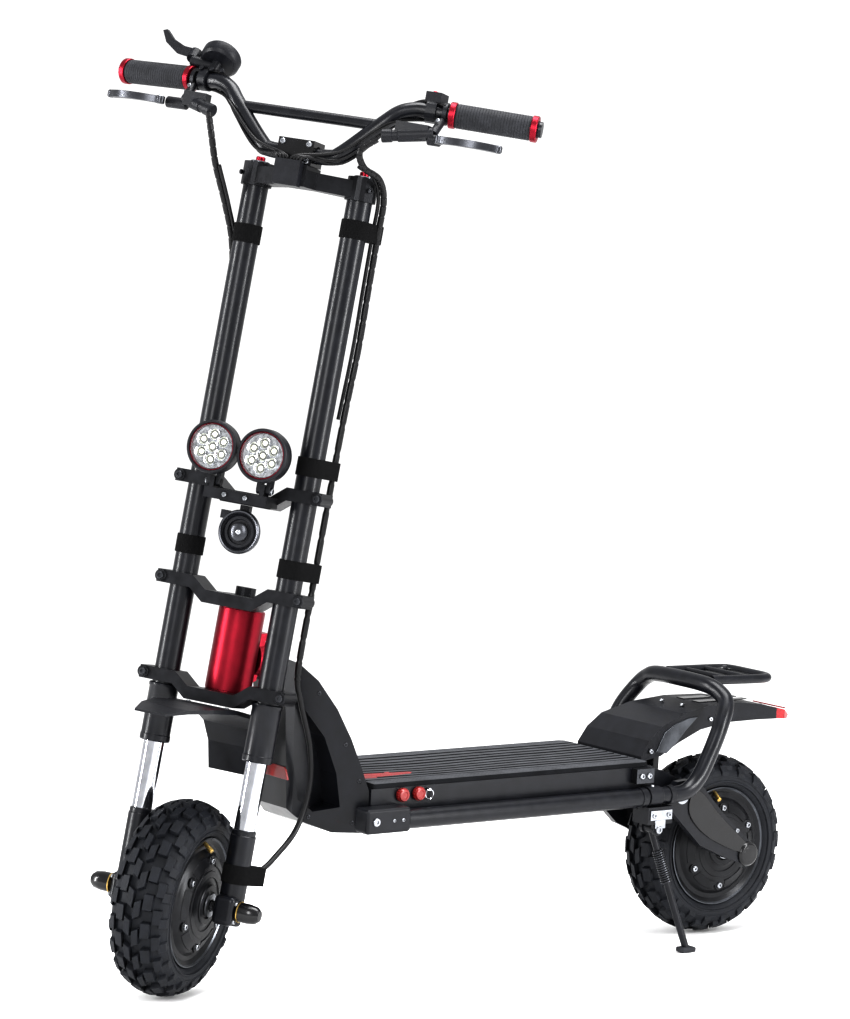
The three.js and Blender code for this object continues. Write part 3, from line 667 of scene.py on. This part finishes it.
def make_hoop():
    side = [(122, 779, 248), (122, 820, 248), (122, 858, 250), (121, 884, 268), (119, 906, 302),
            (116, 928, 344), (104, 948, 376), (84, 950, 392), (58, 946, 400)]
    other = [(-x, y, z) for x, y, z in reversed(side)]
    into = bmesh.new()
    tube(into, smooth_route([*side, (0, 944, 402), *other], 8), 12.5, 28)
    piece("hoop_tube", into, GROUND, "paint", "frame", "hoop")
    route = [(52, 963, 405), (54, 1010, 404), (54, 1066, 403), (42, 1084, 403), (0, 1086, 403),
             (-42, 1084, 403), (-54, 1066, 403), (-54, 1010, 404), (-52, 963, 405)]
    into = bmesh.new()
    tube(into, smooth_route(route, 8), 7, 20)
    for y in (1000, 1040):
        rod(into, (-54, y, 404), (54, y, 404), 5, 20)
    piece("rack_tube", into, GROUND, "paint", "frame", "rack")
    into, bolts = bmesh.new(), bmesh.new()
    for s in (1, -1):
        ring(into, (s * RAIL_X, 781, 248), (s * RAIL_X, 806, 248), 12.6, 15, 40)
        ring(into, (s * RAIL_X, 822, 248), (s * RAIL_X, 832, 248), 12.6, 14.4, 40)
        bolt(bolts, (s * RAIL_X, 793, 262.4), UP, 3.4, 2.6)
    piece("hoop_sleeves", into, GROUND, "plastic", "frame")
    steel_piece("hoop_screws", bolts, GROUND, "frame")


def make_rear_fender():
    keep("rear_fender", "plastic", 3.0, smooth=50, segments=3)
    keep("tail_light", "lamp", 1.2)
    into, ribs, dark = bmesh.new(), bmesh.new(), bmesh.new()
    for x in (-24, 24):
        for y, z in ((930, 366.4), (1092, 357.5)):
            bolt(into, (x, y, z - 3.4), UP, 3.6, 3.2)
    for k in range(5):
        y = 1122 + 6 * k
        block(ribs, (-26 + k, y, 351.5 - 1.25 * k), (26 - k, y + 2.2, 353 - 1.25 * k))
    for s in (1, -1):
        low, high = sorted((s * 9, s * 27))
        prism(dark, [(low, 962), (high, 962), (high - s * 2, 1016), (low, 1016)], 366, 367.2)
        prism(dark, [(low, 1024), (high - s * 3, 1024), (high - s * 6, 1066), (low, 1066)], 365.2, 366.6)
    sides = bmesh.new()
    outline = [(838, 304), (856, 332), (880, 344), (912, 351), (932, 351), (908, 334), (884, 314),
               (862, 300)]
    for s in (1, -1):
        verts = []
        for lift in (-1, 1.4):
            verts += [Vector((s * (72 - 16 * (y - 850) / 100 + lift), y, z)) for y, z in outline]
        slab(sides, verts)
        bolt(into, (s * 56, 962, 345), (s, -0.2, 0), 3.4, 2)
        bolt(into, (s * 76.5, 826, 306), (s, 0, 0), 4, 2)
    piece("fender_side_panels", sides, GROUND, "motor_edge", "frame", bevel=0.8)
    steel_piece("fender_screws", into, GROUND, "frame")
    piece("tail_light_ribs", ribs, GROUND, "lamp", "frame")
    piece("fender_panels", dark, GROUND, "gloss", "frame", bevel=0.4)


# ---- kickstand and rear suspension ----
def coil(into, a, b, radius, wire, turns, sides=10):
    a, b = Vector(a), Vector(b)
    u, v, _ = basis(b - a)
    steps = int(turns * 20)
    route = []
    for i in range(steps + 1):
        t = i / steps
        angle = 2 * math.pi * turns * t
        route.append(a.lerp(b, t) + (u * math.cos(angle) + v * math.sin(angle)) * radius)
    tube(into, route, wire, sides)


def make_kickstand():
    pivot, foot = Vector(STAND_PIVOT), Vector(STAND_FOOT)
    into = bmesh.new()
    rod(into, pivot, foot, 5.4, 32, 0.5)
    rod(into, pivot + Vector((-10, 0, 0)), pivot + Vector((10, 0, 0)), 7, 32, 0.6)
    piece("kickstand_bar", into, GROUND, "plastic", "kickstand", "kickstand_leg")
    into = bmesh.new()
    x, y, z = foot
    block(into, (x - 8.6, y - 13.5, z - 4.8), (x + 9.6, y + 13.5, z + 3))
    piece("kickstand_foot", into, GROUND, "grip", "kickstand", bevel=2.5, segments=3)
    into = bmesh.new()
    coil(into, pivot.lerp(foot, 0.18), pivot.lerp(foot, 0.45), 7.6, 1.2, 15)
    piece("kickstand_coil", into, GROUND, "dark_steel", "kickstand", "kickstand_spring")
    into = bmesh.new()
    for s in (1, -1):
        bolt(into, pivot + Vector((s * 16.6, 0, 0)), (s, 0, 0), 6, 4)
    plate = bmesh.new()
    block(plate, (134, 782, 213), (135.6, 824, 228))
    block(plate, (134, 792, 200), (135, 812, 213))
    piece("kickstand_plate", plate, GROUND, "steel", "frame", bevel=0.6)
    for y in (789, 817):
        bolt(into, (135.6, y, 220.5), (1, 0, 0), 3.8, 2.4)
    steel_piece("kickstand_bolts", into, GROUND, "frame")


def make_suspension():
    keep("swingarm", "paint", 2.5)
    keep("rear_shock_body", "crown", 0.8)
    keep("rear_shock_rod", "chrome", 0.6)
    into, bolts = bmesh.new(), bmesh.new()
    coil(into, (0, 812, 274), (0, 866, 274), 12.2, 1.8, 6)
    piece("rear_shock_coil", into, GROUND, "red", "frame")
    for s in (1, -1):
        washer = [(0, 0), (12.5, 0), (12.5, 1.6), (9, 1.6), (9, 4.4), (8.2, 5), (0, 5)]
        lathe(bolts, washer, (s * 105, SWING_Y, SWING_Z - 2), (s, 0, 0), 40)
        bolt(bolts, (s * 105, 985, 178), (s, 0, 0), 3.6, 2.4)
    ribs = bmesh.new()
    outline = [(888, 246), (908, 243), (950, 203), (1000, 162), (1012, 150), (1004, 142), (968, 152),
               (916, 178), (884, 212)]
    boss = [(0, 0), (19, 0), (19, 2.5), (16, 6), (13.4, 6.4), (0, 6.4)]
    for s in (1, -1):
        low, high = sorted((s * 104, s * 107.5))
        prism(ribs, spline_outline(outline), low, high, "yz")
        lathe(ribs, boss, (s * 104.8, WHEEL_BASE, TYRE_R), (s, 0, 0), 48)
    piece("swingarm_ribs", ribs, GROUND, "gloss", "rear_arm", bevel=1.6, segments=3)
    steel_piece("swingarm_washers", bolts, GROUND, "rear_arm")


# ---- steering head ----
def make_head():
    keep("head_tube", "red", 1.5, segments=3)
    sleeve = bmesh.new()
    ring(sleeve, (0, 0, 296.6), (0, 0, 414.4), 31, 32.9, 96, 1.6)
    piece("head_tube_barrel", sleeve, HEAD, "red", "head")
    into = bmesh.new()
    teeth = []
    for k in range(96):
        a = 2 * math.pi * k / 96
        r = 26.8 if k % 2 else 25.6
        teeth.append((r * math.cos(a), COLLAR_Z + r * math.sin(a)))
    prism(into, teeth, 46, 66, "xz")
    ring(into, (0, 41.6, COLLAR_Z), (0, 46, COLLAR_Z), 15.6, 25, 48, 0.8)
    ring(into, (0, 66, COLLAR_Z), (0, 67.8, COLLAR_Z), 15.6, 24.6, 48, 0.8)
    piece("lock_collar_knurled", into, HEAD, "crown", "lock_collar", "fold_collar", bevel=0.3,
          smooth=20)
    into = bmesh.new()
    for s in (1, -1):
        bolt(into, (s * 12.2, 47, 380), (s, 0, 0), 4, 2.6)
    steel_piece("fold_hinge_screws", into, HEAD, "head")


# ---- fork ----
def make_fork():
    for name in ("lower", "middle", "light", "top"):
        keep(f"crown_{name}", "crown", 2.2, segments=3)
    bolts, red_bolts, ends = bmesh.new(), bmesh.new(), bmesh.new()
    for name, z in CROWNS.items():
        front = -58 if name == "light" else -60
        for s in (1, -1):
            rod(ends, (s * 106, front - 3, z), (s * 106, -18, z), 8.4, 32, 1)
            bolt(bolts, (s * 106, front - 3, z), FRONT, 5.2, 2.6)
    for y in (-22, -54):
        for s in (1, -1):
            bolt(bolts, (s * 98, y, 1019), (s, 0, 0), 3.6, 3)
    for s in (1, -1):
        cap = [(0, 0), (14, 0), (14, 1.6), (12.6, 2.6), (0, 2.6)]
        lathe(bolts, cap, (s * LEG_X, LEG_Y, TOP_CROWN_Z), UP, 40)
        lathe(red_bolts, [(0, 0), (6.6, 0), (6.6, 5.4), (5.6, 6.4), (3, 6.4), (3, 4), (0, 4)],
              (s * LEG_X, LEG_Y, TOP_CROWN_Z + 2.4), UP, 32)
    piece("crown_end_bosses", ends, FORK, "crown", "steering")
    piece("crown_bolts", bolts, FORK, "dark_steel", "steering")
    piece("fork_top_caps", red_bolts, FORK, "red", "steering")
    for side, s in SIDES:
        into = bmesh.new()
        seal = [(15.4, 210), (20.4, 210), (21.6, 211.5), (21.6, 219), (20.8, 220), (20.8, 286),
                (21.8, 287.5), (21.8, 291), (20.5, 292.4), (LEG_R, 292.6), (LEG_R, LEG_TOP),
                (0, LEG_TOP), (0, 400), (15.4, 400), (15.4, 210)]
        lathe(into, seal, (s * LEG_X, LEG_Y, 0), UP, 56)
        piece(f"fork_leg_{side}", into, FORK, "paint", "steering", f"leg_{side}")
        into = bmesh.new()
        slider = [(0, -19.6), (16, -19.6), (LEG_R, -17), (LEG_R, 106), (17, 107), (17, 113),
                  (15.2, 114.2), (0, 114.2)]
        lathe(into, slider, (s * LEG_X, LEG_Y, 0), UP, 56)
        piece(f"fork_slider_{side}", into, FORK, "paint", "lower_fork", f"slider_{side}")
        into = bmesh.new()
        low, high = sorted((s * 64, s * 96))
        prism(into, [(low, -66), (high, -66), (high, -30), (low, -30)], -19.6, 22)
        piece(f"fork_foot_{side}", into, FORK, "paint", "lower_fork", bevel=8, segments=5)
        into = bmesh.new()
        rod(into, (s * LEG_X, LEG_Y, 114.4), (s * LEG_X, LEG_Y, 306), 15, 56)
        piece(f"fork_stanchion_{side}", into, FORK, "chrome", "lower_fork", f"stanchion_{side}")
        into = bmesh.new()
        for z in (-12, 13):
            bolt(into, (s * 95.8, -58, z), (s, 0, 0), 3.6, 2.8)
        bolt(into, (s * LEG_X, LEG_Y, -19.6), (0, 0, -1), 6, 2)
        steel_piece(f"fork_foot_bolts_{side}", into, FORK, "lower_fork")


def make_lights():
    for side, s in SIDES:
        x = s * LAMP_X
        centre = (x, LAMP_BACK, LAMP_Z)
        shell, trim, bowl, leds, lens, gaps = (bmesh.new() for _ in range(6))
        profile = [(0, 0), (20, 0)]
        for k in range(6):
            r = 23.5 + 2 * k
            profile += [(r, 2 + 4 * k), (r + 2.6, 2 + 4 * k), (r + 2.6, 4 + 4 * k), (r + 0.6, 4 + 4 * k)]
        profile += [(36.5, 27), (37.4, 29), (37.4, 43.4), (36.2, 44.8), (33.4, 44.8), (32.8, 38), (0, 38)]
        lathe(shell, profile, centre, FRONT, 64)
        for dx in (-10.5, 4):
            hinge = Vector((x + dx, LAMP_HINGE_Y, LAMP_HINGE_Z))
            rod(shell, hinge, hinge + Vector((6.5, 0, 0)), 6, 32, 0.4)
            block(shell, hinge - Vector((0, 6, 0)), hinge + Vector((6.5, 6, 20)))
        lathe(trim, [(31.6, 38), (32.9, 43.8), (32.1, 44.2), (31, 38)], centre, FRONT, 64)
        lathe(bowl, [(0, 36.2), (30, 36.2), (30, 38.6), (0, 38.6)], centre, FRONT, 48)
        turns = [math.radians(30 + 60 * k) for k in range(6)]
        for dx, dz in [(0, 0), *[(17.6 * math.cos(a), 17.6 * math.sin(a)) for a in turns]]:
            at = Vector((x + dx, LAMP_BACK - 38, LAMP_Z + dz))
            lathe(bowl, [(7.4, 0), (8.6, 4.8), (8.0, 5), (4.4, 0)], at, FRONT, 28)
            lathe(leds, [(0, 0), (3.9, 0), (3.6, 1.8), (2.2, 3), (0, 3.4)], at, FRONT, 20)
            lathe(gaps, [(4.2, 0.1), (4.9, 0.5), (4.6, 1), (4.1, 0.6)], at, FRONT, 20)
        lathe(lens, [(0, 44.0), (31, 44.0), (31, 44.7), (0, 44.9)], centre, FRONT, 48)
        body = f"{side}_light"
        piece(f"light_shell_{side}", shell, FORK, "plastic", body, f"headlight_{side}",
              smooth=30)
        piece(f"light_trim_{side}", trim, FORK, "red", body)
        piece(f"light_bowl_{side}", bowl, FORK, "reflector", body)
        piece(f"light_shadow_rings_{side}", gaps, FORK, "gloss", body)
        piece(f"light_leds_{side}", leds, FORK, "led", body)
        piece(f"light_lens_{side}", lens, FORK, "glass", body)
    into = bmesh.new()
    for s in (1, -1):
        bolt(into, (s * 48.6, LAMP_HINGE_Y, LAMP_HINGE_Z), (s, 0, 0), 4.4, 3)
        bolt(into, (s * 16, -98, 569), FRONT, 3.6, 2.4)
    steel_piece("light_mount_screws", into, FORK, "steering")


def make_horn():
    dark, rim, mid = bmesh.new(), bmesh.new(), bmesh.new()
    base = (0, HORN_BACK, HORN_Z)
    lathe(dark, [(0, 0), (14, 0), (20, 6), (30, 12), (30, 17), (26, 18), (24, 15), (22, 16.5), (18, 16.5),
                 (17, 14.5), (0, 14.5)], base, FRONT, 56)
    block(dark, (-7, -56, 540), (7, -46, 558.7))
    block(dark, (-32, -62, 536), (-20, -54, 548))
    lathe(rim, [(29, 12), (31, 13.4), (31, 18), (29.4, 20), (27.4, 19.4), (27, 16), (29, 12)],
          base, FRONT, 64)
    lathe(mid, [(0, 14), (13, 14), (13, 18), (11, 19.4), (4, 19.8), (3.4, 18.6), (0, 18.6)],
          base, FRONT, 48)
    piece("horn_shell", dark, FORK, "plastic", "steering", "horn", smooth=30)
    piece("horn_rim", rim, FORK, "grey", "steering")
    piece("horn_centre", mid, FORK, "grey", "steering")
    dot = bmesh.new()
    bolt(dot, (0, HORN_BACK - 18.4, HORN_Z), FRONT, 4.4, 2.4, socket=False)
    steel_piece("horn_screw", dot, FORK, "steering")


def make_front_fender():
    keep("front_fender", "plastic", 2.0, segments=3)
    into = bmesh.new()
    for x, y in ((30, -60), (-30, -60), (30, 0), (-30, 0)):
        bolt(into, (x, y, 275 if y < -30 else 269), UP, 3.4, 2.2)
    steel_piece("front_fender_screws", into, FORK, "steering")


# ---- handlebar and controls ----
BAR_HALF = [(44, -90, 1053), (62, -88, 1062), (110, -80, 1110), (130, -72, 1130), (150, -65.4, 1138),
            (168, -60.8, 1139), (190, -56, 1139), (230, -47.28, 1139), (323, -27, 1139)]


def bar_point(s, x):
    t = (x - 190) / 133
    return Vector((s * x, -56 + 29 * t, 1139))


def make_bar():
    into = bmesh.new()
    other = [(-x, y, z) for x, y, z in reversed(BAR_HALF)]
    tube(into, smooth_route([*other, (0, -90, 1053), *BAR_HALF], 8), BAR_R, 28)
    rod(into, (-110, -80, 1108), (110, -80, 1108), 8, 28)
    piece("handlebar_tube", into, FORK, "paint", "steering", "handlebar")
    keep("bar_clamp", "gloss", 2.5, segments=3)
    keep("cable_box", "plastic", 2.5, segments=3)
    into = bmesh.new()
    for x in (-20, 20):
        for z in (1042, 1065):
            bolt(into, (x, -107.6, z), FRONT, 4.2, 4)
    steel_piece("bar_clamp_bolts", into, FORK, "steering")


def make_grips():
    for side, s in SIDES:
        start, end = bar_point(s, 196), bar_point(s, 318)
        length = (end - start).length
        along = end - start
        into, rings, plug = bmesh.new(), bmesh.new(), bmesh.new()
        profile = [(11.8, 9.6), (16.2, 9.6)]
        count = 26
        for k in range(count):
            d = 11 + (length - 22) * k / count
            step = (length - 22) / count
            profile += [(16.5, d), (17.0, d + step * 0.12), (17.0, d + step * 0.82),
                        (16.5, d + step * 0.94)]
        profile += [(16.2, length - 9.6), (11.8, length - 9.6), (11.8, 9.6)]
        lathe(into, profile, start, along, 40)
        for d in (0.4, length - 9.2):
            lathe(rings, [(11.8, d), (17.6, d), (18.4, d + 1), (18.4, d + 7.6), (17.6, d + 8.6),
                          (11.8, d + 8.6), (11.8, d)], start, along, 48)
        lathe(plug, [(0, length - 3), (11, length - 3), (11.4, length + 1.2), (9.4, length + 2.6),
                     (0, length + 3)], start, along, 32)
        piece(f"grip_ribbed_{side}", into, FORK, "grip", "steering", f"grip_{side}", smooth=45)
        piece(f"grip_rings_{side}", rings, FORK, "red", "steering")
        piece(f"grip_plug_{side}", plug, FORK, "plastic", "steering")


def spline_outline(points, steps=5):
    closed = [*points[-2:], *points, *points[:2]]
    route = smooth_route([(a, b, 0) for a, b in closed], steps)
    return [(p.x, p.y) for p in route[2 * steps:(2 + len(points)) * steps]]


def make_brakes():
    for side, s in SIDES:
        shift = 0 if s > 0 else BRAKE_SHIFT
        body, clamp, blade, screws, pivot = (bmesh.new() for _ in range(5))
        a, b = Vector((s * (122 + shift), -104, 1092)), Vector((s * 190, -86, 1106))
        length = (b - a).length
        lathe(body, [(0, 0), (8.2, 0), (9.4, 1.2), (9.4, 14), (8, 15), (8, 22), (9.4, 23),
                     (9.4, length - 1), (8.4, length), (0, length)], a, b - a, 40)
        rod(body, (s * 189, -86, 1106), (s * 190.5, -66, 1128), 6, 24, 0.8)
        low, high = sorted((s * (140 + shift), s * 184))
        prism(body, [(low, -106), (high, -96), (high, -78), (low, -88)], 1096, 1116)
        rod(body, (s * 184, -88, 1098), (s * (202 + shift), -86, 1098), 8, 24, 1)
        ring(clamp, bar_point(s, 186.8), bar_point(s, 193.8), 11.2, 15.8, 40, 0.8)
        outline = [(214, -100), (232, -104), (262, -98), (282, -86), (290, -88), (288, -96), (266, -110),
                   (236, -114), (208, -108), (206, -100)]
        prism(blade, spline_outline([(s * (x + shift), y) for x, y in outline]), 1092.5, 1102.5)
        rod(blade, (s * (289 + shift), -90, 1092), (s * (289 + shift), -90, 1103), 5.2, 24, 2)
        hinge = Vector((s * (BRAKE_X + shift), BRAKE_Y, 0))
        rod(blade, hinge + Vector((0, 0, 1092)), hinge + Vector((0, 0, 1103)), 6.4, 28, 0.8)
        bolt(screws, (s * 190, -80, 1126), (0, -1, 0.2), 3, 2.2)
        bolt(pivot, hinge + Vector((0, 0, 1102.4)), UP, 3.4, 2.2)
        piece(f"brake_cylinder_{side}", body, FORK, "plastic", "steering", f"brake_body_{side}",
              smooth=30)
        piece(f"brake_clamp_{side}", clamp, FORK, "crown", "steering")
        piece(f"brake_blade_{side}", blade, FORK, "grey", f"{side}_lever", f"brake_lever_{side}",
              bevel=2, segments=3)
        steel_piece(f"brake_pivot_{side}", pivot, FORK, f"{side}_lever")
        steel_piece(f"brake_screws_{side}", screws, FORK, "steering")


def make_controls():
    centre, axis = Vector((-166, -45, 1172)), Vector((0, 0.64, 0.77)).normalized()
    case, screen, bezel = bmesh.new(), bmesh.new(), bmesh.new()
    lathe(case, [(0, -9.8), (24, -9.8), (27, -7), (28.6, -4), (28.8, 7), (27.4, 9.4), (25.6, 10.6),
                 (24.6, 9.6), (0, 9.6)], centre, axis, 64)
    rod(case, (-172, -55, 1150), (-168, -48, 1167), 8, 28, 0.8)
    rod(case, (-172, -50, 1160), (-207, -52, 1164), 8, 28, 1.5)
    for x in (-16, 0, 16):
        rod(case, centre + Vector((x, -21, -19)), centre + Vector((x, -25, -17)), 3.4, 16, 0.6)
    ring(case, bar_point(-1, 168), bar_point(-1, 182), 11.2, 15.8, 40, 1)
    lathe(screen, [(0, 9), (24.2, 9), (24.2, 10.2), (0, 10.5)], centre, axis, 48)
    lathe(bezel, [(24.9, 9.2), (25.4, 10.8), (24.4, 10.8), (24.2, 9.2)], centre, axis, 64)
    piece("display_case", case, FORK, "plastic", "steering", "display", smooth=30)
    piece("display_screen", screen, FORK, "screen", "steering")
    piece("display_bezel", bezel, FORK, "grey", "steering")
    keep("throttle_lever", "plastic", 1.5, segments=3)
    keep("switch_pod", "plastic", 2.0, segments=3)
    keys = bmesh.new()
    for y in (-62, -54, -46):
        lathe(keys, [(0, 0), (2.9, 0), (2.9, 1.6), (2.2, 2.2), (0, 2.2)], (172, y, 1165.4), UP, 20)
    piece("switch_buttons", keys, FORK, "red", "steering")


# ---- cables and straps ----
CABLE_LEFT = [(118, -108, 1086), (98, -112, 1066), (100, -92, 1046), (112, -60, 1036), (112, -30, 1010),
              (106, -14, 960), (103, -5, 890), (103, -2, 800), (102, -6, 700), (101, -5, 568), (101, -4, 440),
              (102, -3, 340), (110, 8, 300), (118, 50, 240), (120, 72, 180), (116, 60, 120), (109, 14, 78),
              (105, -10, 62)]
CABLE_RIGHT = [(-136, -116, 1088), (-128, -112, 1060), (-124, -88, 1020), (-116, -50, 970), (-108, -22, 920),
               (-104, -5, 850), (-103, -4, 720), (-101, -5, 568), (-101, -4, 440), (-102, -3, 320),
               (-106, 4, 240), (-106, 4, 160), (-105, -8, 80)]


def make_cables():
    for side, route in (("left", CABLE_LEFT), ("right", CABLE_RIGHT)):
        into = bmesh.new()
        path = smooth_route(route, 40)
        radii = [(4.6 if i % 12 < 10 else 3.9) if p.z > 330 else 4.0 for i, p in enumerate(path)]
        tube(into, path, radii, 14)
        made = piece(f"cable_jacket_{side}", into, FORK, "cable", "steering", f"cable_{side}",
                     smooth=22)
        made.parent = None
        made.matrix_world = Matrix.Identity(4)
        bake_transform(made)
        into = bmesh.new()
        beside = [(x - math.copysign(7, x), y - 3, z) for x, y, z in route[2:9]]
        tube(into, smooth_route(beside, 10), 2.6, 12)
        piece(f"cable_thin_{side}", into, FORK, "cable", "steering")
    for side, s in SIDES:
        into = bmesh.new()
        for k in range(4):
            phase = k * 0.9
            route = [(s * (4 + 4 * k), -119, 1034), (s * (8 + 5 * k), -122, 1046)]
            for i, (x, y, z) in enumerate(BAR_HALF[1:7]):
                turn = phase + i * 0.55
                route.append((s * (x + 2), y - 13.5 * math.cos(turn) - 1, z - 13.5 * math.sin(turn)))
            tube(into, smooth_route(route, 8), 2.4, 10)
        piece(f"bar_leads_{side}", into, FORK, "cable", "steering")


def hull(points):
    """The convex outline round some points."""
    points = sorted(set(points))

    def half(source):
        out = []
        for p in source:
            while len(out) > 1 and ((out[-1][0] - out[-2][0]) * (p[1] - out[-2][1])
                                    - (out[-1][1] - out[-2][1]) * (p[0] - out[-2][0])) <= 0:
                out.pop()
            out.append(p)
        return out[:-1]

    return half(points) + half(points[::-1])


def make_straps():
    """Hook-and-loop straps round a fork leg and the cable beside it."""
    for side, s, body, heights in (("left", 1, "steering", (963, 627, 482)),
                                   ("right", -1, "steering", (935, 491)),
                                   ("left_low", 1, "lower_fork", (52,))):
        into = bmesh.new()
        for z in heights:
            points = []
            for cx, cy, cr in ((s * LEG_X, LEG_Y, LEG_R + 2.2), (s * 103, -8, 7)):
                for k in range(36):
                    a = 2 * math.pi * k / 36
                    points.append((round(cx + cr * math.cos(a), 3), round(cy + cr * math.sin(a), 3)))
            prism(into, hull(points), z - 13, z + 13)
        piece(f"straps_{side}", into, FORK, "strap", body, bevel=0.8, smooth=40)


# ---- build ----
MATERIALS = make_materials()
make_camera()
make_studio()
make_wheels()
make_deck()
make_port_caps()
make_hoop()
make_rear_fender()
make_kickstand()
make_suspension()
make_head()
make_fork()
make_lights()
make_horn()
make_front_fender()
make_bar()
make_grips()
make_brakes()
make_controls()
make_cables()
make_straps()
